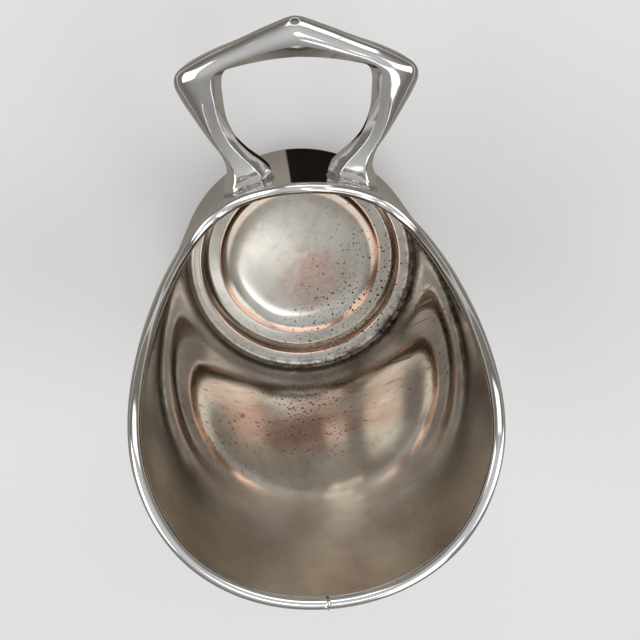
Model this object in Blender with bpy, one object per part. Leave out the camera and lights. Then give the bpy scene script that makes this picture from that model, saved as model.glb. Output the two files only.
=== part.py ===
"""Silver-plated sauce boat: a deep round pouring vessel with a stirrup handle.

The body is one spun shell with a stepped foot. Its mouth sweeps up from the handle to a tall
lip and carries an applied round wire, closed by a soldered butt joint at the lip. A cast
stirrup handle stands on two feet, each soldered to the back wall.

Frame: the origin is the centre of the flat resting face. +Z is up, +Y points to the handle
and -Y to the lip. Angles round the body are measured from the lip.
"""

import math

import bmesh
import bpy
from mathutils import Vector

MM = 0.001
GAP = 0.30 * MM                  # clearance between pieces that are soldered together

# Body
BODY_RADIUS = 40.0 * MM          # outside of the wall
WALL = 1.2 * MM
BODY_COLUMNS = 64                # facets round the body
WALL_ROWS = 6
FILLET_STEPS = 3
# Middle of the sheet, from the flat disc out to the wall: radius, height, corner radius.
FOOT_CORNERS = (
    (26.3 * MM, 0.6 * MM, 1.8 * MM),
    (27.9 * MM, 4.2 * MM, 1.3 * MM),
    (31.6 * MM, 4.7 * MM, 1.8 * MM),
    (34.2 * MM, 9.3 * MM, 1.3 * MM),
    (BODY_RADIUS - WALL / 2, 9.9 * MM, 2.6 * MM),
)
WALL_START = 13.0 * MM           # height at which the straight wall begins

# Mouth: angle from the lip in degrees, height of the middle of the wire.
MOUTH_STATIONS = (
    (0, 123.5 * MM), (45, 121.5 * MM), (75, 114.3 * MM), (90, 106.9 * MM), (105, 94.6 * MM),
    (120, 79.6 * MM), (135, 67.9 * MM), (150, 64.4 * MM), (180, 68.2 * MM),
)
WIRE_RADIUS = 39.45 * MM         # from the axis to the middle of the wire
WIRE_WIDTH = 2.9 * MM            # across the wall
WIRE_HEIGHT = 2.6 * MM
WIRE_SECTIONS = 84
WIRE_SIDES = 10
WIRE_JOINT_GAP = 1.1 * MM        # between the two ends at the lip
JOINT_THICKNESS = 0.5 * MM       # the solder that fills the butt joint
JOINT_PROUD = 1.10               # how far the solder stands out of the wire

# Handle: it lies in a plane that rises from the back wall.
HANDLE_ROOT_HEIGHT = 52.9 * MM   # where that plane meets the wall
HANDLE_RISE = math.radians(20.0)
HANDLE_SIDES = 14
HANDLE_FULLNESS = 2.5            # 2 is an ellipse; more is squarer
HANDLE_STEPS = 2                 # rings for each pair of stations
FOOT_SLIDE = 12.0 * MM           # how far a foot's last ring may slide to reach the wall
# Right half, foot to apex: outer edge (across, out), inner edge (across, out), thickness.
HANDLE_STATIONS = (
    (19.6, -1.5, 7.6, 1.2, 9.0),
    (19.4, 1.5, 8.2, 2.4, 8.2),
    (19.6, 4.0, 10.2, 4.6, 6.8),
    (20.6, 7.0, 13.2, 7.4, 6.0),
    (22.6, 10.4, 15.8, 10.8, 5.7),
    (24.6, 14.2, 17.3, 14.4, 5.7),
    (26.6, 18.2, 18.0, 18.0, 6.0),
    (28.5, 22.2, 18.2, 22.4, 6.6),
    (29.5, 26.0, 18.1, 26.4, 7.0),
    (28.0, 29.2, 17.0, 28.9, 7.2),
    (21.5, 32.8, 14.0, 30.0, 6.8),
    (13.8, 35.8, 9.8, 30.9, 6.6),
    (6.4, 38.9, 5.0, 31.6, 6.8),
    (0.0, 41.0, 0.0, 31.9, 7.0),
)

# Solder bead round each foot of the handle
BEAD_RADIUS = 0.5 * MM
BEAD_SIDES = 6
BEAD_STEPS = 2                   # bead sections for each point of the foot's outline

SILVER = (0.86, 0.85, 0.83, 1.0)
WORN_SILVER = (0.60, 0.55, 0.50, 1.0)
SOLDER = (0.66, 0.64, 0.62, 1.0)


def clear_scene():
    """Remove every object so the part is built from nothing."""
    for item in list(bpy.data.objects):
        bpy.data.objects.remove(item, do_unlink=True)


def metal(name, colour, roughness):
    """Return a metallic Principled material."""
    material = bpy.data.materials.new(name)
    material.use_nodes = True
    shader = material.node_tree.nodes["Principled BSDF"]
    shader.inputs["Base Color"].default_value = colour
    shader.inputs["Metallic"].default_value = 1.0
    shader.inputs["Roughness"].default_value = roughness
    return material


def finish_object(name, mesh_data, material):
    """Turn a bmesh into a named, smooth-shaded object with its faces pointing out."""
    bmesh.ops.recalc_face_normals(mesh_data, faces=mesh_data.faces)
    mesh = bpy.data.meshes.new(name)
    mesh_data.to_mesh(mesh)
    mesh_data.free()
    mesh.materials.append(material)
    mesh.shade_smooth()
    mesh.set_sharp_from_angle(angle=math.radians(40.0))
    item = bpy.data.objects.new(name, mesh)
    bpy.context.scene.collection.objects.link(item)
    return item


def bridge(mesh_data, ring_a, ring_b, closed=True):
    """Join two rings of vertices with quads."""
    count = len(ring_a)
    last = count if closed else count - 1
    for i in range(last):
        j = (i + 1) % count
        mesh_data.faces.new((ring_a[i], ring_a[j], ring_b[j], ring_b[i]))


def around(radius, angle, height):
    """Return the point at a radius, an angle from the lip and a height."""
    return Vector((radius * math.sin(angle), -radius * math.cos(angle), height))


def catmull(before, start, end, after, t):
    """Return the Catmull-Rom value between start and end."""
    slope_a = (end - before) / 2
    slope_b = (after - start) / 2
    t2 = t * t
    t3 = t2 * t
    return (start * (2 * t3 - 3 * t2 + 1) + slope_a * (t3 - 2 * t2 + t)
            + end * (3 * t2 - 2 * t3) + slope_b * (t3 - t2))


def mouth_height(angle):
    """Return the height of the mouth wire's middle at an angle from the lip."""
    degrees = abs(math.degrees(math.remainder(angle, math.tau)))
    stations = [(-a, h) for a, h in MOUTH_STATIONS[1:2]] + list(MOUTH_STATIONS)
    stations.append((2 * 180 - MOUTH_STATIONS[-2][0], MOUTH_STATIONS[-2][1]))
    for i in range(1, len(stations) - 2):
        (a0, h0), (a1, h1), (a2, h2), (a3, h3) = stations[i - 1:i + 3]
        if degrees <= a2:
            break
    span = a2 - a1
    t = (degrees - a1) / span
    slope_1 = (h2 - h0) / (a2 - a0) * span
    slope_2 = (h3 - h1) / (a3 - a1) * span
    t2 = t * t
    t3 = t2 * t
    return (h1 * (2 * t3 - 3 * t2 + 1) + slope_1 * (t3 - 2 * t2 + t)
            + h2 * (3 * t2 - 2 * t3) + slope_2 * (t3 - t2))


def mouth_slope(angle):
    """Return how steeply the mouth climbs, as rise over run along the wire."""
    step = math.radians(0.5)
    rise = mouth_height(angle + step) - mouth_height(angle - step)
    return rise / (2 * step * WIRE_RADIUS)


def wall_top(angle):
    """Return the height of the wall's edge, just below the mouth wire."""
    below = WIRE_HEIGHT / 2 + GAP
    return mouth_height(angle) - below * math.hypot(1.0, mouth_slope(angle))


def filleted(corners, start, end):
    """Return a path from start to end whose corners are rounded with arcs.

    corners holds (radius, height, fillet radius) triples.
    """
    points = [start]
    stops = [start] + [Vector((r, h)) for r, h, _ in corners] + [end]
    for i, (_, _, fillet) in enumerate(corners, start=1):
        here = stops[i]
        back = (stops[i - 1] - here).normalized()
        ahead = (stops[i + 1] - here).normalized()
        half = back.angle(ahead) / 2
        reach = fillet / math.tan(half)
        centre = here + (back + ahead).normalized() * (fillet / math.sin(half))
        first = here + back * reach - centre
        last = here + ahead * reach - centre
        turn = first.angle_signed(last)
        for k in range(FILLET_STEPS + 1):
            bend = -turn * k / FILLET_STEPS
            rotated = Vector((first.x * math.cos(bend) - first.y * math.sin(bend),
                              first.x * math.sin(bend) + first.y * math.cos(bend)))
            points.append(centre + rotated)
    points.append(end)
    return points


def offset_path(path, distance):
    """Shift each inner point of a path sideways; positive is to the right of its run."""
    shifted = []
    for i, point in enumerate(path):
        run = path[min(i + 1, len(path) - 1)] - path[max(i - 1, 0)]
        side = Vector((run.y, -run.x)).normalized()
        shifted.append(point + side * distance)
    return shifted


def shell_rings(mesh_data, path):
    """Spin the foot's path and carry the wall up to the mouth. Return the rings."""
    angles = [math.tau * i / BODY_COLUMNS for i in range(BODY_COLUMNS)]
    rings = []
    for point in path:
        rings.append([mesh_data.verts.new(around(point.x, a, point.y)) for a in angles])
    radius = path[-1].x
    base = path[-1].y
    for row in range(1, WALL_ROWS + 1):
        share = row / WALL_ROWS
        rings.append([mesh_data.verts.new(around(radius, a, base + share * (wall_top(a) - base)))
                      for a in angles])
    for lower, upper in zip(rings, rings[1:]):
        bridge(mesh_data, lower, upper)
    mesh_data.faces.new(rings[0])
    return rings


def make_body_shell():
    """Build the spun body: a stepped foot, a straight wall and the swept mouth."""
    disc_edge = Vector((FOOT_CORNERS[0][0] - 3.0 * MM, FOOT_CORNERS[0][1]))
    wall_foot = Vector((BODY_RADIUS - WALL / 2, WALL_START))
    middle = filleted(FOOT_CORNERS, disc_edge, wall_foot)
    mesh_data = bmesh.new()
    outer = shell_rings(mesh_data, offset_path(middle, WALL / 2))
    inner = shell_rings(mesh_data, offset_path(middle, -WALL / 2))
    bridge(mesh_data, outer[-1], inner[-1])
    return finish_object("body_shell", mesh_data, metal("body_silver", WORN_SILVER, 0.3))


def wire_ring(mesh_data, angle, scale=1.0):
    """Add one cross-section of the mouth wire and return its vertices."""
    centre = around(WIRE_RADIUS, angle, mouth_height(angle))
    outward = around(1.0, angle, 0.0)
    run = around(1.0, angle + math.pi / 2, mouth_slope(angle)).normalized()
    upward = run.cross(outward)
    if upward.z < 0:
        upward.negate()
    ring = []
    for i in range(WIRE_SIDES):
        turn = math.tau * i / WIRE_SIDES
        across = outward * (math.cos(turn) * WIRE_WIDTH / 2 * scale)
        over = upward * (math.sin(turn) * WIRE_HEIGHT / 2 * scale)
        ring.append(mesh_data.verts.new(centre + across + over))
    return ring


def lofted(name, material, rings_of):
    """Build a capped solid from the rings that rings_of adds to a new bmesh."""
    mesh_data = bmesh.new()
    rings = rings_of(mesh_data)
    for ring_a, ring_b in zip(rings, rings[1:]):
        bridge(mesh_data, ring_a, ring_b)
    mesh_data.faces.new(rings[0])
    mesh_data.faces.new(rings[-1])
    return finish_object(name, mesh_data, material)


def make_mouth_wire():
    """Build the round wire that borders the mouth, open at the lip's butt joint."""
    half_gap = WIRE_JOINT_GAP / 2 / WIRE_RADIUS
    span = math.tau - 2 * half_gap

    def rings(mesh_data):
        return [wire_ring(mesh_data, half_gap + span * i / WIRE_SECTIONS)
                for i in range(WIRE_SECTIONS + 1)]

    return lofted("mouth_wire", metal("mouth_wire_silver", SILVER, 0.1), rings)


def make_mouth_wire_joint():
    """Build the thin lens of solder that closes the butt joint at the lip."""
    half = JOINT_THICKNESS / 2 / WIRE_RADIUS

    def rings(mesh_data):
        return [wire_ring(mesh_data, -half), wire_ring(mesh_data, 0.0, JOINT_PROUD),
                wire_ring(mesh_data, half)]

    return lofted("mouth_wire_joint", metal("joint_solder", SOLDER, 0.3), rings)


def handle_point(across, out, lift=0.0):
    """Return a point of the handle: across it, out from the wall, and off its plane."""
    rise = math.sin(HANDLE_RISE)
    run = math.cos(HANDLE_RISE)
    return Vector((across, BODY_RADIUS + out * run - lift * rise,
                   HANDLE_ROOT_HEIGHT + out * rise + lift * run))


def handle_stations():
    """Return the smoothed stations from the right foot over the apex to the left foot."""
    half = [[value * MM for value in row] for row in HANDLE_STATIONS]
    full = half + [[-row[0], row[1], -row[2], row[3], row[4]] for row in reversed(half[:-1])]
    smooth = []
    for i in range(len(full) - 1):
        before = full[max(i - 1, 0)]
        after = full[min(i + 2, len(full) - 1)]
        for k in range(HANDLE_STEPS):
            t = k / HANDLE_STEPS
            smooth.append([catmull(before[c], full[i][c], full[i + 1][c], after[c], t)
                           for c in range(5)])
    smooth.append(full[-1])
    return smooth


def fuller(value):
    """Return a sine or cosine pushed outwards, which squares up a circle."""
    return math.copysign(abs(value) ** (2 / HANDLE_FULLNESS), value)


def handle_ring(station):
    """Return the points of one rounded cross-section of the handle."""
    outer_x, outer_y, inner_x, inner_y, thickness = station
    points = []
    for i in range(HANDLE_SIDES):
        turn = math.tau * i / HANDLE_SIDES
        share = (1 + fuller(math.cos(turn))) / 2
        across = inner_x + (outer_x - inner_x) * share
        out = inner_y + (outer_y - inner_y) * share
        points.append(handle_point(across, out, fuller(math.sin(turn)) * thickness / 2))
    return points


def slide_to_wall(point, radius):
    """Slide a foot's point back along the handle's plane until it is at a radius."""
    back = handle_point(0, -1.0) - handle_point(0, 0)
    a = back.y * back.y
    b = point.y * back.y
    c = point.x ** 2 + point.y ** 2 - radius ** 2
    travel = (-b - math.sqrt(b * b - a * c)) / a
    return point + back * min(travel, FOOT_SLIDE)


def foot_outline(side):
    """Return the outline of the foot on one side (1 right, -1 left), at the wall."""
    stations = handle_stations()
    station = stations[0] if side > 0 else stations[-1]
    return [slide_to_wall(p, BODY_RADIUS + GAP) for p in handle_ring(station)]


def average(points):
    """Return the middle of a list of points."""
    return sum(points, Vector()) / len(points)


def cap_at_wall(mesh_data, ring):
    """Close a foot with a fan that follows the round wall."""
    centre = average([v.co for v in ring])
    stretch = (BODY_RADIUS + GAP) / math.hypot(centre.x, centre.y)
    hub = mesh_data.verts.new((centre.x * stretch, centre.y * stretch, centre.z))
    for i, vertex in enumerate(ring):
        mesh_data.faces.new((vertex, ring[(i + 1) % len(ring)], hub))


def make_handle():
    """Build the cast stirrup handle in one piece, its feet shaped to the wall."""
    outlines = [foot_outline(1)] + [handle_ring(s) for s in handle_stations()] + [foot_outline(-1)]
    mesh_data = bmesh.new()
    rings = [[mesh_data.verts.new(p) for p in outline] for outline in outlines]
    for ring_a, ring_b in zip(rings, rings[1:]):
        bridge(mesh_data, ring_a, ring_b)
    cap_at_wall(mesh_data, rings[0])
    cap_at_wall(mesh_data, rings[-1])
    return finish_object("handle", mesh_data, metal("handle_silver", SILVER, 0.12))


def bead_path(side):
    """Return the middle line of the solder bead round one foot."""
    outline = foot_outline(side)
    middle = average(outline)
    count = len(outline)
    away = GAP + BEAD_RADIUS * 1.3
    radius = BODY_RADIUS + GAP + BEAD_RADIUS
    path = []
    for i in range(count):
        corners = [outline[(i + k) % count] for k in (-1, 0, 1, 2)]
        for k in range(BEAD_STEPS):
            point = catmull(*corners, k / BEAD_STEPS)
            point += (point - middle).normalized() * away
            stretch = radius / math.hypot(point.x, point.y)
            path.append(Vector((point.x * stretch, point.y * stretch, point.z)))
    return path


def make_handle_solder(name, side):
    """Build the bead of solder that runs round one foot of the handle."""
    path = bead_path(side)
    count = len(path)
    mesh_data = bmesh.new()
    rings = []
    for i, point in enumerate(path):
        run = (path[(i + 1) % count] - path[i - 1]).normalized()
        outward = Vector((point.x, point.y, 0.0)).normalized()
        outward = (outward - run * outward.dot(run)).normalized()
        sideways = run.cross(outward)
        ring = []
        for k in range(BEAD_SIDES):
            turn = math.tau * k / BEAD_SIDES
            offset = outward * math.cos(turn) + sideways * math.sin(turn)
            ring.append(mesh_data.verts.new(point + offset * BEAD_RADIUS))
        rings.append(ring)
    for i in range(count):
        bridge(mesh_data, rings[i], rings[(i + 1) % count])
    return finish_object(name, mesh_data, metal(name, SOLDER, 0.25))


def main():
    """Build every piece of the sauce boat."""
    clear_scene()
    make_body_shell()
    make_mouth_wire()
    make_mouth_wire_joint()
    make_handle()
    make_handle_solder("handle_solder_right", 1)
    make_handle_solder("handle_solder_left", -1)


main()
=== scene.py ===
"""Looks of a silver-plated sauce boat: a spun body, its mouth wire and a cast stirrup handle.

Sizes are millimetres in the classes and metres in the scene. The frame is the model's own: the
origin is the centre of the resting face, +Z is up, +Y points to the handle and -Y to the lip.
Angles round the body are measured from the lip.
"""

import logging
import math
from collections.abc import Iterable, Sequence
from dataclasses import dataclass, field
from enum import Enum

import bmesh
import bpy
from mathutils import Matrix, Vector, noise


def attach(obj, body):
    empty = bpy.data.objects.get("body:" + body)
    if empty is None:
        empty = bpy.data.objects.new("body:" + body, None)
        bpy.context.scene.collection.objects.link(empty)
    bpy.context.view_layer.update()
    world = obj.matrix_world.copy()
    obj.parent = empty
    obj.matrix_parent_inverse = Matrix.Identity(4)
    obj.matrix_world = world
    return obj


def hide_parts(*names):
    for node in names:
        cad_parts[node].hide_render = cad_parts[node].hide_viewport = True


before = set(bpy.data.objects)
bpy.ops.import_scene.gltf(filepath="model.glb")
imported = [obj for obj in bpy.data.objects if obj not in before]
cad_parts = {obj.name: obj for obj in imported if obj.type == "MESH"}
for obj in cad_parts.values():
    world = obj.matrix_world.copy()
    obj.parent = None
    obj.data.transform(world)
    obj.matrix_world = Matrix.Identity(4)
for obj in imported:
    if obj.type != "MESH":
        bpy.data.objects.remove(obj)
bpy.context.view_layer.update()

MM = 0.001
LOG = logging.getLogger("sauce_boat")

Colour = tuple[float, float, float, float]
Span = tuple[float, float]


# --- shader building


class Link:
    """A shader socket that takes part in Python arithmetic."""

    def __init__(self, graph: "Graph", socket: bpy.types.NodeSocket) -> None:
        """Wrap an output socket of a graph."""
        self.graph = graph
        self.socket = socket

    def _math(self, operation: str, *values: "Link | float") -> "Link":
        """Add a Math node over the given values."""
        return self.graph.node("ShaderNodeMath", {"operation": operation}, dict(enumerate(values)))

    def __add__(self, other: "Link | float") -> "Link":
        """Return self + other."""
        return self._math("ADD", self, other)

    __radd__ = __add__

    def __sub__(self, other: "Link | float") -> "Link":
        """Return self - other."""
        return self._math("SUBTRACT", self, other)

    def __rsub__(self, other: float) -> "Link":
        """Return other - self."""
        return self._math("SUBTRACT", other, self)

    def __mul__(self, other: "Link | float") -> "Link":
        """Return self * other."""
        return self._math("MULTIPLY", self, other)

    __rmul__ = __mul__

    def __truediv__(self, other: "Link | float") -> "Link":
        """Return self / other."""
        return self._math("DIVIDE", self, other)

    def __pow__(self, other: float) -> "Link":
        """Return self ** other."""
        return self._math("POWER", self, other)

    def __abs__(self) -> "Link":
        """Return the absolute value."""
        return self._math("ABSOLUTE", self)

    def highest(self, other: "Link | float") -> "Link":
        """Return the larger of the two values."""
        return self._math("MAXIMUM", self, other)

    def band(self, low: float, high: float) -> "Link":
        """Return a smooth ramp: 0 at low and 1 at high, which may be below low."""
        settings = {"interpolation_type": "SMOOTHSTEP"}
        return self.graph.node("ShaderNodeMapRange", settings,
                               {"Value": self, "From Min": low, "From Max": high})


class Graph:
    """A node tree of a material or of the studio's surroundings."""

    def __init__(self, tree: bpy.types.NodeTree) -> None:
        """Take over a tree, to add nodes to it."""
        self.tree = tree

    def node(self, kind: str, settings: dict[str, object] | None = None,
             inputs: dict[str | int, object] | None = None, output: str | int = 0) -> Link:
        """Add a node, with its settings made before its sockets are filled.

        Args:
            kind: The node's type name.
            settings: Node properties; "stops" holds a colour ramp's (place, colour) pairs.
            inputs: Values or links for its input sockets.
            output: The output socket to return.

        Returns:
            The chosen output.
        """
        made = self.tree.nodes.new(kind)
        for key, value in (settings or {}).items():
            if key == "stops":
                self.set_stops(made.color_ramp, value)
            else:
                setattr(made, key, value)
        for key, value in (inputs or {}).items():
            if isinstance(value, Link):
                self.tree.links.new(value.socket, made.inputs[key])
            else:
                made.inputs[key].default_value = value
        return Link(self, made.outputs[output])

    @staticmethod
    def set_stops(ramp: bpy.types.ColorRamp, stops: Sequence[tuple[float, Colour]]) -> None:
        """Give a colour ramp its stops.

        Args:
            ramp: The ramp.
            stops: Its (place, colour) pairs, in order.
        """
        while len(ramp.elements) < len(stops):
            ramp.elements.new(1.0)
        for element, (place, colour) in zip(ramp.elements, stops):
            element.position = place
            element.color = colour

    def split(self, vector: Link) -> tuple[Link, Link, Link]:
        """Split a vector.

        Args:
            vector: The vector.

        Returns:
            Its x, y and z.
        """
        made = self.node("ShaderNodeSeparateXYZ", inputs={0: vector})
        outputs = made.socket.node.outputs
        return Link(self, outputs[0]), Link(self, outputs[1]), Link(self, outputs[2])

    def join(self, x: Link | float, y: Link | float, z: Link | float) -> Link:
        """Return a vector made of three values."""
        return self.node("ShaderNodeCombineXYZ", inputs={0: x, 1: y, 2: z})

    def stretch(self, vector: Link, by: tuple[float, float, float]) -> Link:
        """Return a vector scaled by a different amount along each axis."""
        return self.node("ShaderNodeVectorMath", {"operation": "MULTIPLY"}, {0: vector, 1: by})

    def noise(self, vector: Link, size: float, detail: float = 3.0, rough: float = 0.5) -> Link:
        """Return fractal noise of a size, with a number and a strength of finer layers."""
        return self.node("ShaderNodeTexNoise", inputs={
            "Vector": vector, "Scale": 1 / size, "Detail": detail, "Roughness": rough})

    def cells(self, vector: Link, size: float) -> Link:
        """Return the distance to the nearest of scattered points, in cell sizes."""
        return self.node("ShaderNodeTexVoronoi", inputs={"Vector": vector, "Scale": 1 / size})

    def blend(self, share: Link | float, first: Link | Colour, second: Link | Colour) -> Link:
        """Mix two colours: share 0 gives the first and 1 the second."""
        return self.node("ShaderNodeMix", {"data_type": "RGBA", "clamp_factor": True},
                         {0: share, 6: first, 7: second}, 2)

    def dot(self, vector: Link, axis: Vector) -> Link:
        """Return the dot product of a vector and a fixed axis."""
        return self.node("ShaderNodeVectorMath", {"operation": "DOT_PRODUCT"},
                         {0: vector, 1: tuple(axis)}, "Value")


class Surface(Graph):
    """A material's node tree, round its Principled shader."""

    def __init__(self, name: str) -> None:
        """Start a material that holds a Principled shader and nothing else.

        Args:
            name: The material's name.
        """
        self.material = bpy.data.materials.new(name)
        self.material.use_nodes = True
        super().__init__(self.material.node_tree)
        self.shader = self.tree.nodes["Principled BSDF"]

    def feed(self, **inputs: object) -> None:
        """Set or link the shader's sockets.

        Args:
            inputs: Values or links by socket name, with an underscore for each space.
        """
        for name, value in inputs.items():
            socket = self.shader.inputs[name.replace("_", " ")]
            if isinstance(value, Link):
                self.tree.links.new(value.socket, socket)
            else:
                socket.default_value = value

    def place(self) -> Link:
        """Return the surface point in the object's own space, in millimetres."""
        here = self.node("ShaderNodeTexCoord", output="Object")
        return self.node("ShaderNodeVectorMath", {"operation": "SCALE"}, {0: here, "Scale": 1 / MM})

    def relief(self, height: Link, depth: float) -> Link:
        """Return a normal bumped by a height field whose full range is depth millimetres."""
        return self.node("ShaderNodeBump", inputs={
            "Height": height, "Distance": depth * MM, "Strength": 1.0})


def scratches(graph: Graph, place: Link, angle: float, spacing: float) -> Link:
    """Return a mask of sparse, thin straight scratches in one direction.

    Args:
        graph: The graph to build in.
        place: The surface point, in millimetres.
        angle: Direction of the scratches, in degrees.
        spacing: Typical distance between them.

    Returns:
        The mask, 1 on a scratch.
    """
    tilt = 0.7
    drawn_out = (1.0, 0.06, 0.25)
    rarest = (0.66, 0.74)
    turned = graph.node("ShaderNodeVectorRotate", {"rotation_type": "EULER_XYZ"}, {
        "Vector": place, "Rotation": (tilt, math.radians(angle), math.radians(2 * angle))})
    return graph.noise(graph.stretch(turned, drawn_out), spacing, 2.0, 0.6).band(*rarest)


# --- finishes


@dataclass(frozen=True)
class PolishedSilver:
    """Bright silver plate with polishing scratches and a few dark specks.

    Sizes are millimetres. A band holds the two noise values between which a mask rises, a rough
    value is what a mask adds to the roughness, and a depth is a share of the relief's range.
    """

    name: str
    tint: Colour = (0.90, 0.895, 0.875, 1.0)
    film: Colour = (0.62, 0.59, 0.52, 1.0)
    speck: Colour = (0.16, 0.13, 0.10, 1.0)
    gloss: float = 0.05
    film_share: float = 0.35
    film_size: float = 24.0
    film_band: Span = (0.35, 0.75)
    film_rough: float = 0.06
    scratch_angles: Span = (25.0, 115.0)
    scratch_spacings: Span = (0.5, 0.7)
    scratch_rough: float = 0.06
    scratch_depth: float = 0.010
    speck_size: float = 2.6
    speck_limit: float = 0.055
    speck_cluster: float = 6.0
    speck_band: Span = (0.5, 0.6)
    speck_share: float = 0.8
    speck_rough: float = 0.3
    speck_depth: float = 0.05
    soil_rough: float = 0.22
    soil_depth: float = 0.2
    ripple_size: float = 5.0
    ripple_depth: float = 0.05
    relief_range: float = 0.35

    def sheltered(self, graph: Graph, place: Link) -> Link | float:
        """Return where a cloth doesn't reach and the plate has gone dark."""
        return 0.0

    def material(self) -> bpy.types.Material:
        """Build the material.

        Returns:
            The material.
        """
        graph = Surface(self.name)
        place = graph.place()
        film = graph.noise(place, self.film_size, 3.0, 0.5).band(*self.film_band)
        fine, crossed = (scratches(graph, place, angle, spacing) for angle, spacing
                         in zip(self.scratch_angles, self.scratch_spacings))
        marks = fine.highest(crossed)
        specks = graph.cells(place, self.speck_size).band(self.speck_limit, self.speck_limit * 0.4)
        specks = specks * graph.noise(place, self.speck_cluster, 2.0).band(*self.speck_band)
        soil = self.sheltered(graph, place)
        colour = graph.blend(film * self.film_share, self.tint, self.film)
        colour = graph.blend(soil, colour, self.speck)
        colour = graph.blend(specks * self.speck_share, colour, self.speck)
        ripple = graph.noise(place, self.ripple_size, 2.0, 0.4)
        height = (ripple * self.ripple_depth - marks * self.scratch_depth
                  - specks * self.speck_depth - soil * self.soil_depth)
        roughness = (film * self.film_rough + marks * self.scratch_rough
                     + specks * self.speck_rough + soil * self.soil_rough + self.gloss)
        graph.feed(Base_Color=colour, Metallic=1.0, Roughness=roughness,
                   Normal=graph.relief(height, self.relief_range))
        return graph.material


@dataclass(frozen=True)
class CastSilver(PolishedSilver):
    """The handle's silver, with the small casting pit at its apex and grime at its feet."""

    speck: Colour = (0.055, 0.042, 0.032, 1.0)
    pit: tuple[float, float, float] = (-0.1, 77.2, 67.7)
    pit_size: tuple[float, float, float] = (1.25, 0.85, 1.6)
    pit_edge: Span = (1.1, 0.7)
    pit_share: float = 0.85
    seam_radii: Span = (41.3, 40.2)
    seam_size: float = 1.6
    seam_band: Span = (0.35, 0.6)
    seam_share: float = 0.7

    def sheltered(self, graph: Graph, place: Link) -> Link | float:
        """Mark the dark pit, and the grime along the seams of the feet.

        Args:
            graph: The graph to build in.
            place: The surface point, in millimetres.

        Returns:
            How dark the plate has gone, from 0 to 1.
        """
        from_pit = graph.node("ShaderNodeVectorMath", {"operation": "SUBTRACT"},
                              {0: place, 1: self.pit})
        shares = graph.stretch(from_pit, tuple(1 / part for part in self.pit_size))
        reach = graph.node("ShaderNodeVectorMath", {"operation": "LENGTH"}, {0: shares}, "Value")
        x, y, _ = graph.split(place)
        seam = ((x * x + y * y) ** 0.5).band(*self.seam_radii)
        grime = graph.noise(place, self.seam_size, 3.0).band(*self.seam_band)
        return (reach.band(*self.pit_edge) * self.pit_share).highest(seam * grime * self.seam_share)


@dataclass(frozen=True)
class LiningPoint:
    """A point on the lining, with the masks that several kinds of wear and the painted shade share."""

    place: Link
    x: Link
    y: Link
    z: Link
    radius: Link
    side: Link
    low: Link
    corner: Link
    front: Link
    wear: Link
    grime: Link


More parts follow.
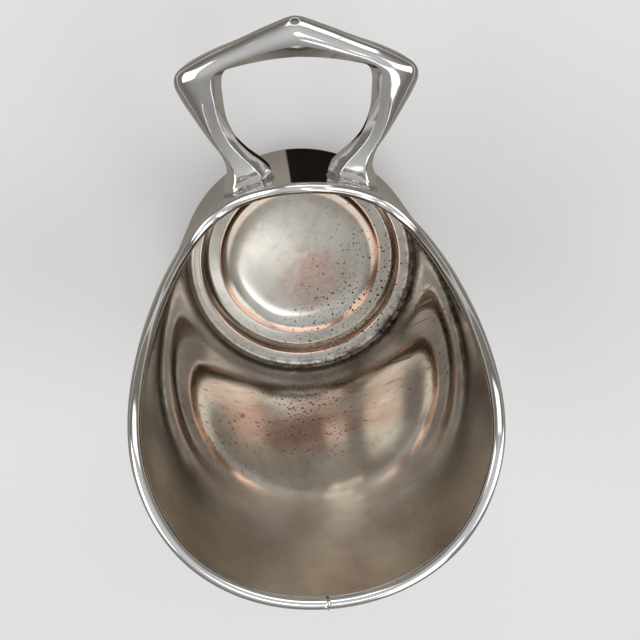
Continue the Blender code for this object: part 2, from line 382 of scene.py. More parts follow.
@dataclass(frozen=True)
class WornLining:
    """Worn satin plate inside the body: copper on the raised rings, pits and dark corners.

    Places and sizes are millimetres. A pair of places is where a mask is 0 and where it is 1.
    The wear grows towards one side: worn_way is its direction and worn_reach its distance.
    Painted shade darkens the wall low on the front and on its flanks, in the dark tarnish colour.
    """

    name: str
    silver: Colour = (0.80, 0.775, 0.72, 1.0)
    warm: Colour = (0.66, 0.61, 0.545, 1.0)
    copper: Colour = (0.80, 0.52, 0.40, 1.0)
    blush: Colour = (0.70, 0.49, 0.41, 1.0)
    # Dark colour of the tarnish and pits, also used for the painted shade on the wall.
    tarnish_and_shade: Colour = (0.085, 0.075, 0.065, 1.0)
    worn_way: Span = (0.8, -0.6)
    worn_reach: float = 34.0
    inner_ring: float = 27.35
    outer_ring: float = 33.75
    floor_heights: Span = (13.5, 11.5)
    floor_radii: Span = (40.0, 32.0)
    corner_radii: Span = (35.0, 38.0)
    corner_heights: Span = (30.0, 13.0)
    front_depths: Span = (2.0, -34.0)
    front_start: Span = (20.0, 36.0)
    front_end: Span = (92.0, 50.0)
    front_across: Span = (30.0, 6.0)
    wall_heights: Span = (95.0, 50.0)
    # Painted shade low on the front of the wall, just above the floor's corner, standing in for the
    # corner's dark reflection.
    painted_low_shade_depths: Span = (2.0, -32.0)
    painted_low_shade_heights: Span = (44.0, 20.0)
    # Painted shade on the flanks of the wall, standing in for their dark reflections.
    painted_flank_shade_across: Span = (20.0, 38.0)
    painted_flank_shade_heights: Span = (20.0, 40.0)
    satin_heights: Span = (78.0, 110.0)
    patch: Span = (4.0, -7.0)
    patch_radii: Span = (16.0, 5.0)
    pit_spacings: Span = (2.0, 1.2)
    pit_size: float = 0.19
    pit_edge: Span = (1.15, 0.8)
    relief_range: float = 0.22

    def _point(self, graph: Surface) -> LiningPoint:
        """Measure the surface point.

        Args:
            graph: The graph to build in.

        Returns:
            The point and the shared masks.
        """
        place = graph.place()
        x, y, z = graph.split(place)
        radius = (x * x + y * y) ** 0.5
        return LiningPoint(
            place=place, x=x, y=y, z=z, radius=radius,
            side=(x * self.worn_way[0] + y * self.worn_way[1]) / self.worn_reach,
            low=z.band(*self.floor_heights),
            corner=radius.band(*self.corner_radii) * z.band(*self.corner_heights),
            front=y.band(*self.front_depths) * z.band(*self.front_start) * z.band(*self.front_end),
            wear=graph.noise(place, 6.0, 4.0, 0.65), grime=graph.noise(place, 3.0, 4.0, 0.7))

    def _line(self, radius: Link, ring: float, half: Link) -> Link:
        """Return a soft line round the body at a radius, with a given half width."""
        return (abs(radius - ring) / half).band(1.35, 0.65)

    def _copper(self, graph: Graph, at: LiningPoint) -> Link:
        """Mark where the plate has worn through on the two raised rings.

        Args:
            graph: The graph to build in.
            at: The surface point.

        Returns:
            The mask of bare copper, wider towards the worn side.
        """
        breakup = graph.noise(at.place, 4.0, 3.0, 0.6)
        wander = (breakup - 0.5) * 0.5
        inner = self._line(at.radius + wander, self.inner_ring, at.side * 0.22 + 0.62)
        outer = self._line(at.radius + wander, self.outer_ring, at.side * 0.12 + 0.34)
        return inner.highest(outer * (breakup + at.side * 0.12).band(0.30, 0.44)) * at.low

    def _pits(self, graph: Graph, at: LiningPoint) -> Link:
        """Scatter dark pits, which are larger and closer where they crowd.

        Args:
            graph: The graph to build in.
            at: The surface point.

        Returns:
            The mask of the pits.
        """
        on_wall = at.wear.band(0.34, 0.60) * at.z.band(*self.wall_heights) * 0.24
        on_floor = (at.side * 0.72 + 0.38) * at.low * at.radius.band(*self.floor_radii)
        in_front = at.front * abs(at.x).band(*self.front_across) * at.wear.band(0.30, 0.55) * 1.1
        crowd = (on_wall + on_floor + at.corner * 0.42 + in_front).highest(0.0)
        limit = crowd * self.pit_size + 0.001
        broad, fine = ((graph.cells(at.place, spacing) / limit).band(*self.pit_edge)
                       for spacing in self.pit_spacings)
        return broad.highest(fine * 0.85)

    def _blush(self, graph: Graph, at: LiningPoint) -> Link:
        """Mark where copper shows faintly through the floor, and a warm tint in patches on the front
        of the wall.

        Args:
            graph: The graph to build in.
            at: The surface point.

        Returns:
            The share of the blush.
        """
        across = at.x - self.patch[0]
        along = at.y - self.patch[1]
        near = ((across * across + along * along) ** 0.5).band(*self.patch_radii) * at.low
        patch = near * at.grime.band(0.34, 0.58)
        stain = at.front * graph.noise(at.place, 14.0, 4.0, 0.6).band(0.36, 0.56)
        return (patch * 0.8).highest(stain * 0.55)

    def _tarnish_and_painted_shade(self, at: LiningPoint, painted_low_shade: Link) -> Link:
        """Mark the tarnish in the corner and in the grime, and the painted shade low on the front and
        on the flanks.

        Args:
            at: The surface point.
            painted_low_shade: The mask of the painted shade low on the front of the wall.

        Returns:
            The share of the tarnish and of the painted shade.
        """
        dark = at.corner * at.grime.band(0.36, 0.64) * (at.side + 0.75)
        # Painted shade: the flanks of the wall are darkened at mid height to stand in for dark
        # reflections there; the grime term beside it is real.
        flank_shade = abs(at.x).band(*self.painted_flank_shade_across) * at.z.band(*self.painted_flank_shade_heights)
        grime_and_flank_shade = at.grime.band(0.52, 0.72) * 0.16 + flank_shade * 0.24
        return (dark * 0.6).highest(painted_low_shade * 0.82).highest(grime_and_flank_shade)

    def material(self) -> bpy.types.Material:
        """Build the material.

        Returns:
            The material.
        """
        graph = Surface(self.name)
        at = self._point(graph)
        copper = self._copper(graph, at)
        pits = self._pits(graph, at)
        # Painted shade: the wall low on the front, just above the floor's corner, is darkened to stand
        # in for the dark reflection of that corner; the grime noise only breaks it up.
        painted_low_shade = (at.z.band(*self.painted_low_shade_heights) * at.y.band(*self.painted_low_shade_depths) * (1.0 - at.low)
               * at.grime.band(0.15, 0.45))
        cloud = graph.noise(graph.stretch(at.place, (1.0, 1.0, 1.6)), 20.0, 5.0, 0.6)
        turned = graph.join(at.x * 0.04, at.y * 0.04, at.z + at.radius)
        lines = graph.noise(turned, 0.30, 3.0, 0.65)
        dents = graph.noise(at.place, 16.0, 1.0, 0.4)
        colour = graph.blend(cloud.band(0.38, 0.68), self.silver, self.warm)
        colour = graph.blend(self._blush(graph, at), colour, self.blush)
        colour = graph.blend((lines - 0.45) * 0.4, colour, self.warm)
        colour = graph.blend(copper, colour, self.copper)
        # One dark colour paints the tarnish and pits, and the painted shade low on the front and on
        # the flanks.
        colour = graph.blend(self._tarnish_and_painted_shade(at, painted_low_shade).highest(pits * 0.85), colour, self.tarnish_and_shade)
        height = lines * 0.004 - pits * at.low * 0.02 - copper * 0.02 + dents * 0.10
        roughness = (cloud * 0.04 + pits * 0.4 + at.corner * 0.16 + painted_low_shade * 0.08 + lines * 0.03
                     + at.z.band(*self.satin_heights) * 0.20 + at.low * 0.09 + 0.015)
        graph.feed(Base_Color=colour, Metallic=1.0 - pits * 0.85, Roughness=roughness,
                   Normal=graph.relief(height, self.relief_range))
        return graph.material


@dataclass(frozen=True)
class Solder:
    """Dull plated solder, slightly lumpy, with dirt on the lumps."""

    name: str
    tint: Colour = (0.58, 0.56, 0.53, 1.0)
    stain: Colour = (0.20, 0.17, 0.14, 1.0)
    lump_size: float = 0.9
    lump_range: float = 0.12
    dirt_band: Span = (0.5, 0.7)
    dirt_share: float = 0.8
    dirt_rough: float = 0.2
    gloss: float = 0.18

    def material(self) -> bpy.types.Material:
        """Build the material.

        Returns:
            The material.
        """
        graph = Surface(self.name)
        lumps = graph.noise(graph.place(), self.lump_size, 3.0, 0.6)
        dirt = lumps.band(*self.dirt_band)
        graph.feed(Base_Color=graph.blend(dirt * self.dirt_share, self.tint, self.stain), Metallic=1.0,
                   Roughness=dirt * self.dirt_rough + self.gloss,
                   Normal=graph.relief(lumps, self.lump_range))
        return graph.material


@dataclass(frozen=True)
class StudioPaper:
    """Plain pale paper for the floor; mirrored rays see painted dark reflections on it instead.

    Sizes are metres. The painted reflections darken away from the middle, and a black painted
    reflection lies just behind the body.
    """

    name: str = "studio_paper"
    tint: Colour = (0.93, 0.93, 0.93, 1.0)
    fibre: Colour = (0.90, 0.90, 0.895, 1.0)
    fibre_size: float = 0.004
    fibre_share: float = 0.3
    # Painted reflections, seen only by mirrored rays: dark colours that stand in for a dark room round
    # the piece.
    near_painted_reflection: Colour = (0.38, 0.35, 0.31, 1.0)
    far_painted_reflection: Colour = (0.20, 0.19, 0.175, 1.0)
    painted_reflection_radii: Span = (0.06, 0.42)
    black_painted_reflection: Colour = (0.012, 0.009, 0.007, 1.0)
    black_reflection_across: Span = (-0.004, 0.022)
    black_reflection_along: Span = (0.036, 0.075)
    black_reflection_edge: float = 0.0006

    def _within(self, value: Link, span: Span) -> Link:
        """Return 1 where a value lies in a span, with the black painted reflection's soft edge."""
        first, last = span
        return value.band(first, first + self.black_reflection_edge) * value.band(last, last - self.black_reflection_edge)

    def material(self) -> bpy.types.Material:
        """Build the material.

        Returns:
            The material.
        """
        graph = Surface(self.name)
        here = graph.node("ShaderNodeTexCoord", output="Object")
        away = graph.node("ShaderNodeVectorMath", {"operation": "LENGTH"}, {0: here}, "Value")
        x, y, _ = graph.split(here)
        # Painted reflection: mirrored rays see these dark colours instead of the paper.
        painted_reflection = graph.blend(away.band(*self.painted_reflection_radii), self.near_painted_reflection, self.far_painted_reflection)
        black_reflection_mask = self._within(x, self.black_reflection_across) * self._within(y, self.black_reflection_along)
        painted_reflection = graph.blend(black_reflection_mask, painted_reflection, self.black_painted_reflection)
        fibre = graph.noise(here, self.fibre_size, 3.0, 0.6) * self.fibre_share
        paper = graph.blend(fibre, self.tint, self.fibre)
        mirrored = graph.node("ShaderNodeLightPath", output="Is Glossy Ray")
        graph.feed(Base_Color=graph.blend(mirrored, paper, painted_reflection), Roughness=0.9,
                   Specular_IOR_Level=0.1)
        return graph.material


# --- mesh building


class Side(Enum):
    """The two feet of the handle."""

    RIGHT = "right"
    LEFT = "left"


def around(radius: float, angle: float, height: float) -> Vector:
    """Return the point at a radius, an angle from the lip and a height."""
    return Vector((radius * math.sin(angle), -radius * math.cos(angle), height))


def hermite(start: float, end: float, slope_a: float, slope_b: float, t: float) -> float:
    """Return the cubic between two values.

    Args:
        start: Value at t = 0.
        end: Value at t = 1.
        slope_a: Slope at t = 0, over the whole span.
        slope_b: Slope at t = 1, over the whole span.
        t: Place in the span, from 0 to 1.

    Returns:
        The value at t.
    """
    t2 = t * t
    t3 = t2 * t
    return (start * (2 * t3 - 3 * t2 + 1) + slope_a * (t3 - 2 * t2 + t)
            + end * (3 * t2 - 2 * t3) + slope_b * (t3 - t2))


def average(points: Sequence[Vector]) -> Vector:
    """Return the middle of some points."""
    return sum(points, Vector()) / len(points)


def arc(before: Vector, corner: Vector, after: Vector, radius: float, steps: int) -> list[Vector]:
    """Return the points that round one corner of a flat outline.

    Args:
        before: The outline's previous corner.
        corner: The corner to round.
        after: The next corner.
        radius: The rounding's radius.
        steps: Number of pieces in the rounding.

    Returns:
        One point more than the pieces.
    """
    back = (before - corner).normalized()
    ahead = (after - corner).normalized()
    half = back.angle(ahead) / 2
    centre = corner + (back + ahead).normalized() * (radius / math.sin(half))
    first = corner + back * (radius / math.tan(half)) - centre
    last = corner + ahead * (radius / math.tan(half)) - centre
    turn = first.angle_signed(last)
    return [centre + Matrix.Rotation(-turn * k / steps, 2) @ first for k in range(steps + 1)]


class Loft:
    """A mesh made of rings of points, joined one to the next."""

    def __init__(self) -> None:
        """Start an empty mesh."""
        self.mesh = bmesh.new()

    def ring(self, points: Iterable[Vector]) -> list[bmesh.types.BMVert]:
        """Add a ring of points, in metres."""
        return [self.mesh.verts.new(point) for point in points]

    def bridge(self, first: list[bmesh.types.BMVert], second: list[bmesh.types.BMVert],
               slot: int = 0) -> None:
        """Join two closed rings with quads.

        Args:
            first: One ring.
            second: The other, with as many points.
            slot: The quads' material slot.
        """
        count = len(first)
        for i in range(count):
            j = (i + 1) % count
            face = self.mesh.faces.new((first[i], first[j], second[j], second[i]))
            face.material_index = slot

    def fan(self, ring: list[bmesh.types.BMVert], hub: Vector, slot: int = 0) -> None:
        """Close a ring with triangles.

        Args:
            ring: The ring.
            hub: The point where the triangles meet.
            slot: The triangles' material slot.
        """
        centre = self.mesh.verts.new(hub)
        for i, vertex in enumerate(ring):
            face = self.mesh.faces.new((vertex, ring[(i + 1) % len(ring)], centre))
            face.material_index = slot

    def finish(self, name: str, materials: Sequence[bpy.types.Material],
               sharp: float = 50.0) -> bpy.types.Object:
        """Turn the mesh into a smooth-shaded piece with its faces pointing out.

        Args:
            name: The piece's name.
            materials: Its materials, in slot order.
            sharp: Edges that bend more than this many degrees stay sharp.

        Returns:
            The new object.
        """
        bmesh.ops.recalc_face_normals(self.mesh, faces=self.mesh.faces)
        data = bpy.data.meshes.new(name)
        self.mesh.to_mesh(data)
        self.mesh.free()
        for material in materials:
            data.materials.append(material)
        data.shade_smooth()
        data.set_sharp_from_angle(angle=math.radians(sharp))
        piece = bpy.data.objects.new(name, data)
        bpy.context.scene.collection.objects.link(piece)
        return piece


def settle(piece: bpy.types.Object, node: str) -> None:
    """Let a piece stand for a CAD node on the one rigid body, and report it.

    Args:
        piece: The piece.
        node: The CAD node that it stands for.
    """
    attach(piece, "root")
    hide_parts(node)
    corners = [Vector(corner) for corner in piece.bound_box]
    size = [(max(c[i] for c in corners) - min(c[i] for c in corners)) / MM for i in range(3)]
    LOG.info("%s: %.1f x %.1f x %.1f mm, %d faces", piece.name, *size, len(piece.data.polygons))


@dataclass
class Mouth:
    """The edge of the body: stations of (degrees from the lip, height)."""

    stations: tuple[tuple[float, float], ...] = (
        (0, 123.5), (45, 121.5), (75, 114.3), (90, 106.9), (105, 94.6),
        (120, 79.6), (135, 67.9), (150, 64.4), (180, 68.2),
    )

    def height(self, angle: float) -> float:
        """Return the height of the wire's middle.

        Args:
            angle: Angle from the lip, in radians.

        Returns:
            The height, on a smooth curve through the stations.
        """
        degrees = abs(math.degrees(math.remainder(angle, math.tau)))
        first, last = self.stations[1], self.stations[-2]
        stations = [(-first[0], first[1]), *self.stations, (360 - last[0], last[1])]
        index = 1
        while degrees > stations[index + 1][0]:
            index += 1
        (a0, h0), (a1, h1), (a2, h2), (a3, h3) = stations[index - 1:index + 3]
        span = a2 - a1
        return hermite(h1, h2, (h2 - h0) / (a2 - a0) * span, (h3 - h1) / (a3 - a1) * span,
                       (degrees - a1) / span)

    def slope(self, angle: float, radius: float) -> float:
        """Return the climb of the edge, as rise over run at a radius."""
        step = math.radians(0.5)
        return (self.height(angle + step) - self.height(angle - step)) / (2 * step * radius)


# --- sub-assemblies


@dataclass
class Body:
    """The spun body: stepped foot, straight wall and swept mouth.

    A corner of the foot holds its radius from the axis, its height and its rounding.
    """

    mouth: Mouth
    radius: float = 40.0
    wall: float = 1.2
    wall_start: float = 14.6
    corners: tuple[tuple[float, float, float], ...] = (
        (26.3, 0.6, 1.8), (27.9, 4.2, 1.3), (32.5, 4.8, 1.5), (34.2, 9.3, 1.2), (39.4, 10.0, 4.0),
    )
    columns: int = 288
    wall_rows: int = 36
    fillet_steps: int = 8
    edge_drop: float = 0.7
    disc_margin: float = 3.0
    disc_rings: int = 26
    dish_share: float = 0.45
    rim_power: float = 12.0
    outside: PolishedSilver = field(default_factory=lambda: PolishedSilver(
        "body_outside_silver", film_share=0.5))
    inside: WornLining = field(default_factory=lambda: WornLining("body_lining_silver"))

    def middle_path(self) -> list[Vector]:
        """Draw the middle of the sheet from the disc's edge to the wall.

        Returns:
            Its (radius, height) points, in millimetres.
        """
        start = Vector((self.corners[0][0] - self.disc_margin, self.corners[0][1]))
        end = Vector((self.radius - self.wall / 2, self.wall_start))
        stops = [start, *(Vector(corner[:2]) for corner in self.corners), end]
        path = [start]
        for i, corner in enumerate(self.corners, start=1):
            path += arc(stops[i - 1], stops[i], stops[i + 1], corner[2], self.fillet_steps)
        path.append(end)
        return path

    def side_path(self, offset: float) -> list[Vector]:
        """Return one side of the sheet's profile, from near the axis to the wall.

        Args:
            offset: Distance from the middle of the sheet; positive is outside.

        Returns:
            Its (radius, height) points, in millimetres.
        """
        middle = self.middle_path()
        path = []
        for i, point in enumerate(middle):
            run = middle[min(i + 1, len(middle) - 1)] - middle[max(i - 1, 0)]
            path.append(point + Vector((run.y, -run.x)).normalized() * offset)
        if offset < 0:
            # Inside, the dished disc runs up to the middle of the second corner.
            path = path[self.fillet_steps + 2 + self.fillet_steps // 2:]
        flat = self.corners[0][1] - offset
        climb = path[0].y - flat
        disc = []
        for i in range(1, self.disc_rings):
            share = i / self.disc_rings
            dished = self.dish_share * share ** 2
            upturned = (1 - self.dish_share) * share ** self.rim_power
            disc.append(Vector((path[0].x * share, flat + climb * (dished + upturned))))
        return disc + path

    def skin(self, loft: Loft, offset: float, slot: int) -> list[bmesh.types.BMVert]:
        """Add one side of the sheet.

        Args:
            loft: The mesh to add to.
            offset: Distance from the middle of the sheet; positive is outside.
            slot: Material slot of the side.

        Returns:
            Its ring at the mouth.
        """
        path = self.side_path(offset)
        angles = [math.tau * i / self.columns for i in range(self.columns)]
        rings = [[around(point.x, a, point.y) for a in angles] for point in path]
        edge = path[-1]
        for row in range(1, self.wall_rows + 1):
            share = row / self.wall_rows
            rings.append([around(edge.x, a, edge.y + share * (self.top(a) - edge.y))
                          for a in angles])
        made = [loft.ring(point * MM for point in ring) for ring in rings]
        for lower, upper in zip(made, made[1:]):
            loft.bridge(lower, upper, slot)
        loft.fan(made[0], Vector((0.0, 0.0, path[0].y)) * MM, slot)
        return made[-1]

    def top(self, angle: float) -> float:
        """Return the height of the wall's edge, which is hidden in the mouth wire."""
        return self.mouth.height(angle) - self.edge_drop

    def build(self) -> None:
        """Build and dress the body."""
        loft = Loft()
        outer = self.skin(loft, self.wall / 2, 0)
        inner = self.skin(loft, -self.wall / 2, 1)
        loft.bridge(outer, inner, 0)
        piece = loft.finish("body", [self.outside.material(), self.inside.material()])
        settle(piece, "body_shell")


@dataclass
class MouthWire:
    """The wire round the mouth, with the butt joint at the lip."""

    mouth: Mouth
    radius: float = 39.45
    width: float = 2.9
    height: float = 2.6
    sections: int = 420
    sides: int = 28
    joint_gap: float = 0.26
    chamfer: float = 0.12
    end_scale: float = 0.93
    solder_reach: float = 1.5
    solder_scales: tuple[float, float] = (0.965, 0.9)
    bead_place: tuple[float, float] = (0.40, 0.28)
    bead_radii: tuple[float, float, float] = (0.375, 0.285, 0.315)
    bead_segments: int = 24
    bead_rings: int = 14
    silver: PolishedSilver = field(default_factory=lambda: PolishedSilver(
        "mouth_wire_silver", film_share=0.15, gloss=0.06))
    solder: Solder = field(default_factory=lambda: Solder("mouth_joint_solder"))

    def frame_at(self, angle: float) -> tuple[Vector, Vector, Vector]:
        """Find the wire's own axes.

        Args:
            angle: Angle from the lip, in radians.

        Returns:
            The wire's middle, its outward direction and its upward direction.
        """
        centre = around(self.radius, angle, self.mouth.height(angle))
        outward = around(1.0, angle, 0.0)
        run = around(1.0, angle + math.pi / 2, self.mouth.slope(angle, self.radius)).normalized()
        return centre, outward, outward.cross(run)

    def section(self, angle: float, scale: float = 1.0) -> list[Vector]:
        """Return one cross-section.

        Args:
            angle: Angle from the lip, in radians.
            scale: Its size beside the full section.

        Returns:
            Its points, in metres.
        """
        centre, outward, upward = self.frame_at(angle)
        points = []
        for i in range(self.sides):
            turn = math.tau * i / self.sides
            across = outward * (math.cos(turn) * self.width / 2 * scale)
            over = upward * (math.sin(turn) * self.height / 2 * scale)
            points.append((centre + across + over) * MM)
        return points

    def build_wire(self) -> None:
        """Build and dress the wire."""
        loft = Loft()
        start = self.joint_gap / 2 / self.radius
        full = start + self.chamfer / self.radius
        span = math.tau - 2 * full
        angles = [full + span * i / self.sections for i in range(self.sections + 1)]
        rings = [loft.ring(self.section(start, self.end_scale))]
        rings += [loft.ring(self.section(a)) for a in angles]
        rings.append(loft.ring(self.section(-start, self.end_scale)))
        for first, second in zip(rings, rings[1:]):
            loft.bridge(first, second)
        loft.fan(rings[0], self.frame_at(start)[0] * MM)
        loft.fan(rings[-1], self.frame_at(-start)[0] * MM)
        piece = loft.finish("mouth_wire_round", [self.silver.material()])
        settle(piece, "mouth_wire")

    def build_joint(self) -> None:
        """Build the solder that fills the butt joint, with the small bead that ran out of it."""
        loft = Loft()
        half = self.joint_gap / 2 / self.radius
        reach = half * self.solder_reach
        middle_scale, end_scale = self.solder_scales
        rings = [loft.ring(self.section(angle, scale)) for angle, scale
                 in ((-reach, end_scale), (0.0, middle_scale), (reach, end_scale))]
        for first, second in zip(rings, rings[1:]):
            loft.bridge(first, second)
        loft.fan(rings[0], self.frame_at(-half)[0] * MM)
        loft.fan(rings[-1], self.frame_at(half)[0] * MM)
        centre, outward, upward = self.frame_at(0.0)
        out, up = self.bead_place
        middle = centre + outward * (self.width * out) + upward * (self.height * up)
        shape = Matrix.Translation(middle * MM) @ Matrix.Diagonal(
            (*(radius * MM for radius in self.bead_radii), 1.0))
        bmesh.ops.create_uvsphere(loft.mesh, u_segments=self.bead_segments,
                                  v_segments=self.bead_rings, radius=1.0, matrix=shape)
        piece = loft.finish("mouth_wire_butt_joint", [self.solder.material()])
        settle(piece, "mouth_wire_joint")


@dataclass
class Handle:
    """The cast stirrup handle and the solder at its feet.

    A station holds the outer edge (across, out), the inner edge (across, out), the thickness,
    the share of the width that the bevel along the opening takes, and the roundness of the ridge.
    """

    body_radius: float = 40.0
    root_height: float = 52.9
    rise: float = math.radians(20.0)
    stations: tuple[tuple[float, ...], ...] = (
        (20.6, -2.0, 7.4, 1.2, 9.4, 0.22, 0.10),
        (19.5, 1.2, 8.2, 2.4, 8.2, 0.22, 0.10),
        (19.6, 4.0, 10.2, 4.6, 6.8, 0.24, 0.12),
        (20.6, 7.0, 13.2, 7.4, 6.0, 0.25, 0.15),
        (22.6, 10.4, 15.8, 10.8, 5.7, 0.25, 0.22),
        (24.6, 14.2, 17.3, 14.4, 5.7, 0.23, 0.35),
        (26.6, 18.2, 18.0, 18.0, 6.0, 0.21, 0.50),
        (28.5, 22.2, 18.2, 22.4, 6.6, 0.19, 0.60),
        (29.5, 26.0, 18.1, 26.4, 7.0, 0.20, 0.65),
        (28.0, 29.2, 17.0, 28.9, 7.2, 0.24, 0.65),
        (21.5, 32.8, 14.0, 30.0, 6.8, 0.30, 0.60),
        (13.8, 35.8, 9.8, 30.9, 6.6, 0.34, 0.60),
        (6.4, 38.9, 5.0, 31.6, 6.8, 0.36, 0.55),
        (0.0, 41.0, 0.0, 31.9, 7.0, 0.36, 0.50),
    )
    corner_steps: int = 8
    steps: int = 8
    outer_mitre: float = 0.2
    inner_mitre: float = 0.75
    foot_sink: float = 0.15
    bead_radius: float = 0.45
    bead_gap: float = 0.12
    bead_lift: float = 0.08
    bead_unevenness: float = 0.25
    bead_lumps: float = 0.8
    bead_sides: int = 12
    silver: PolishedSilver = field(default_factory=lambda: CastSilver(
        "handle_silver", film_share=0.3, speck_limit=0.08))
    solder: Solder = field(default_factory=lambda: Solder("handle_solder"))

    def point(self, across: float, out: float, lift: float = 0.0) -> Vector:
        """Return a point across the handle, out from the wall and off its plane."""
        rise, run = math.sin(self.rise), math.cos(self.rise)
        return Vector((across, self.body_radius + out * run - lift * rise,
                       self.root_height + out * rise + lift * run))

    def smooth_stations(self) -> list[list[float]]:
        """Fill in the stations, with a row beyond the apex that sets its crease.

        Returns:
            The stations from the right foot over the apex to the left.
        """
        rows = [list(row) for row in self.stations]
        apex, beyond = rows[-1], rows[-2]
        mirrored = [-beyond[0], beyond[1], -beyond[2], *beyond[3:]]
        straight = [2 * a - b for a, b in zip(apex, beyond)]
        shares = [self.outer_mitre] * 2 + [self.inner_mitre] * (len(apex) - 2)
        rows.append([m + (s - m) * share for m, s, share in zip(mirrored, straight, shares)])
        half = []
        for i in range(len(self.stations) - 1):
            near = (rows[max(i - 1, 0)], rows[i], rows[i + 1], rows[i + 2])
            for k in range(self.steps):
                half.append([hermite(b, c, (c - a) / 2, (d - b) / 2, k / self.steps)
                             for a, b, c, d in zip(*near)])
        return half + [apex] + [[-row[0], row[1], -row[2], *row[3:]] for row in reversed(half)]

    def profile(self, bevel: float, ridge: float) -> list[Vector]:
        """Draw the section: six corners of (across, up, rounding), as shares of its size.

        Args:
            bevel: Share of the width that the bevel along the opening takes.
            ridge: Radius of the ridge along the top, as a share.

        Returns:
            Points as (share of the width from the opening, share of the thickness).
        """
        edge = 0.04 + (bevel - 0.22) * 1.1
        corners = ((1.0, 0.02, 0.22), (0.80, 0.46, ridge), (bevel, 0.42, 0.04), (0.0, edge, 0.05),
                   (0.06, -0.44, 0.12), (0.86, -0.48, 0.20))
        points = []
        for i, (share, height, radius) in enumerate(corners):
            before = Vector(corners[i - 1][:2])
            after = Vector(corners[(i + 1) % len(corners)][:2])
            points += arc(before, Vector((share, height)), after, radius, self.corner_steps)
        return points

    def section(self, station: Sequence[float]) -> list[Vector]:
        """Return one cross-section, in millimetres."""
        outer_x, outer_y, inner_x, inner_y, thickness, bevel, ridge = station
        return [self.point(inner_x + (outer_x - inner_x) * share.x,
                           inner_y + (outer_y - inner_y) * share.x, share.y * thickness)
                for share in self.profile(bevel, ridge)]

    def slide(self, point: Vector, radius: float) -> Vector:
        """Slide a point back along the handle's plane.

        Args:
            point: The point.
            radius: Distance from the body's axis to stop at.

        Returns:
            The moved point.
        """
        back = self.point(0, -1.0) - self.point(0, 0)
        a = back.y * back.y
        b = point.y * back.y
        c = point.x ** 2 + point.y ** 2 - radius ** 2
        return point + back * ((-b - math.sqrt(b * b - a * c)) / a)

    def foot(self, side: Side, radius: float) -> list[Vector]:
        """Return a foot's outline where it reaches a radius, in millimetres."""
        station = self.smooth_stations()[0 if side is Side.RIGHT else -1]
        return [self.slide(point, radius) for point in self.section(station)]

    def build(self) -> None:
        """Build and dress the casting."""
        sunk = self.body_radius - self.foot_sink
        outlines = [self.foot(Side.RIGHT, sunk)]
        outlines += [self.section(station) for station in self.smooth_stations()]
        outlines.append(self.foot(Side.LEFT, sunk))
        loft = Loft()
        rings = [loft.ring(point * MM for point in outline) for outline in outlines]
        for first, second in zip(rings, rings[1:]):
            loft.bridge(first, second)
        for ring, outline in ((rings[0], outlines[0]), (rings[-1], outlines[-1])):
            loft.fan(ring, average(outline) * MM)
        piece = loft.finish("handle_casting", [self.silver.material()])
        settle(piece, "handle")

    def bead_path(self, side: Side) -> list[Vector]:
        """Draw the middle of the solder, just outside a foot and just off the wall.

        Args:
            side: The foot.

        Returns:
            Its points, in millimetres.
        """
        outline = self.foot(side, self.body_radius)
        middle = average(outline)
        path = []
        for point in outline:
            away = point + (point - middle).normalized() * self.bead_gap
            stretch = (self.body_radius + self.bead_lift) / math.hypot(away.x, away.y)
            path.append(Vector((away.x * stretch, away.y * stretch, away.z)))
        return path

    def build_solder(self, side: Side) -> None:
        """Build the uneven bead of solder round one foot.

        Args:
            side: The foot.
        """
        path = self.bead_path(side)
        count = len(path)
        turns = [math.tau * k / self.bead_sides for k in range(self.bead_sides)]
        loft = Loft()
        rings = []
        for i, point in enumerate(path):
            run = (path[(i + 1) % count] - path[i - 1]).normalized()
            outward = Vector((point.x, point.y, 0.0)).normalized()
            outward = (outward - run * outward.dot(run)).normalized()
            sideways = run.cross(outward)
            lump = self.bead_unevenness * noise.noise(point * self.bead_lumps)
            size = self.bead_radius * (1.0 + lump)
            rings.append(loft.ring(
                (point + (outward * math.cos(t) + sideways * math.sin(t)) * size) * MM
                for t in turns))
        for i in range(count):
            loft.bridge(rings[i], rings[(i + 1) % count])
        piece = loft.finish(f"handle_bead_{side.value}", [self.solder.material()])
        settle(piece, f"handle_solder_{side.value}")


@dataclass(frozen=True)
class SoftPanel:
    """A large soft light, far enough away to be a patch of the studio's surroundings.

    Angles are degrees; azimuth 0 is towards the handle and 90 is to the right of it. The fade is
    the width of its soft edge, and the front pair keeps it out of the opposite direction.
    """

    azimuth: float
    elevation: float
    width: float
    height: float
    glow: float
    fade: float = 0.12
    front: Span = (0.05, 0.15)

    def mask(self, graph: Graph, way: Link) -> Link:
        """Mark the directions that see the panel.

        Args:
            graph: The graph to build in.
            way: The direction.

        Returns:
            How much of the panel is seen, from 0 to 1.
        """
        turn, lift = math.radians(self.azimuth), math.radians(self.elevation)
        face = Vector((math.sin(turn) * math.cos(lift), math.cos(turn) * math.cos(lift),
                       math.sin(lift)))
        across = Vector((math.cos(turn), -math.sin(turn), 0.0))
        ahead = graph.dot(way, face)
        half_width = math.tan(math.radians(self.width / 2))
        half_height = math.tan(math.radians(self.height / 2))
        sideways = abs(graph.dot(way, across) / ahead)
        upwards = abs(graph.dot(way, face.cross(across)) / ahead)
        return (sideways.band(half_width + self.fade, half_width)
                * upwards.band(half_height + self.fade, half_height) * ahead.band(*self.front))


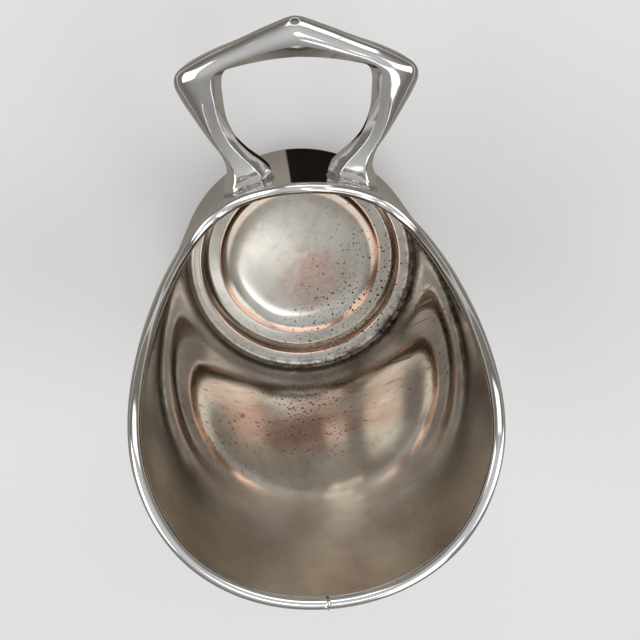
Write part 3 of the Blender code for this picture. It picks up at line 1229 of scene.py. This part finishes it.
@dataclass
class Studio:
    """The pale floor, the soft panels round it and the camera.

    The floor's sizes are metres, and the eye is in millimetres. Right and down are the view's own
    directions. The room is a ramp from straight down to straight up.
    """

    floor_size: float = 6.0
    floor_gap: float = 0.0002
    eye: tuple[float, float, float] = (-4.98, 77.29, 239.5)
    right: tuple[float, float, float] = (0.99754, -0.03352, 0.06155)
    down: tuple[float, float, float] = (-0.05500, -0.91870, 0.39110)
    lens: float = 39.38
    sensor: float = 36.0
    nearest: float = 0.005
    paper: StudioPaper = field(default_factory=StudioPaper)
    backdrop: Colour = (0.775, 0.775, 0.775, 1.0)
    room: tuple[tuple[float, Colour], ...] = (
        (0.0, (0.62, 0.61, 0.59, 1.0)), (0.10, (0.20, 0.18, 0.16, 1.0)),
        (0.40, (0.16, 0.15, 0.14, 1.0)), (0.70, (0.34, 0.34, 0.34, 1.0)),
        (1.0, (0.60, 0.61, 0.62, 1.0)),
    )
    panels: tuple[SoftPanel, ...] = (
        SoftPanel(150.0, 77.0, 9.0, 11.0, 2.8, fade=0.06),
        SoftPanel(270.0, 42.0, 46.0, 26.0, 2.0),
        SoftPanel(95.0, 38.0, 26.0, 40.0, 1.8),
        SoftPanel(10.0, 40.0, 50.0, 20.0, 1.5),
        SoftPanel(157.0, 45.0, 13.0, 20.0, 2.0, fade=0.05),
    )

    def build_floor(self) -> None:
        """Lay the floor just under the resting face."""
        data = bpy.data.meshes.new("studio_floor")
        half = self.floor_size / 2
        corners = ((-half, -half), (half, -half), (half, half), (-half, half))
        data.from_pydata([(x, y, -self.floor_gap) for x, y in corners], [], [(0, 1, 2, 3)])
        data.materials.append(self.paper.material())
        floor = bpy.data.objects.new("studio_floor", data)
        bpy.context.scene.collection.objects.link(floor)

    def build_surroundings(self) -> None:
        """Light the floor and the piece from a dim room with soft panels."""
        world = bpy.data.worlds.new("studio_room")
        world.use_nodes = True
        graph = Graph(world.node_tree)
        lit = graph.tree.nodes["Background"]
        way = graph.node("ShaderNodeTexCoord", output="Generated")
        height = graph.split(way)[2]
        light = graph.node("ShaderNodeValToRGB", {"stops": self.room}, {0: height})
        for panel in self.panels:
            shine = (panel.glow, panel.glow, panel.glow, 1.0)
            light = graph.blend(panel.mask(graph, way), light, shine)
        graph.tree.links.new(light.socket, lit.inputs[0])
        plain = graph.node("ShaderNodeBackground", inputs={0: self.backdrop})
        seen = graph.node("ShaderNodeLightPath", output="Is Camera Ray")
        mixed = graph.node("ShaderNodeMixShader", inputs={
            0: seen, 1: Link(graph, lit.outputs[0]), 2: plain})
        graph.tree.links.new(mixed.socket, graph.tree.nodes["World Output"].inputs["Surface"])
        bpy.context.scene.world = world

    def build_camera(self) -> None:
        """Set the camera over the handle, looking down into the body."""
        right, down = Vector(self.right).normalized(), Vector(self.down).normalized()
        back = right.cross(-down)
        turn = Matrix((right, -down, back)).transposed().to_4x4()
        data = bpy.data.cameras.new("camera")
        data.lens = self.lens
        data.sensor_width = self.sensor
        data.clip_start = self.nearest
        camera = bpy.data.objects.new("camera", data)
        camera.matrix_world = Matrix.Translation(Vector(self.eye) * MM) @ turn
        bpy.context.scene.collection.objects.link(camera)
        bpy.context.scene.camera = camera

    def build(self) -> None:
        """Build the whole studio."""
        self.build_camera()
        self.build_floor()
        self.build_surroundings()
        bpy.context.scene.view_settings.view_transform = "Standard"


def main() -> None:
    """Build the studio and the sauce boat, piece by piece."""
    logging.basicConfig(level=logging.INFO, format="%(name)s: %(message)s")
    Studio().build()
    mouth = Mouth()
    Body(mouth).build()
    wire = MouthWire(mouth)
    wire.build_wire()
    wire.build_joint()
    handle = Handle()
    handle.build()
    for side in Side:
        handle.build_solder(side)


if __name__ == "__main__":
    main()
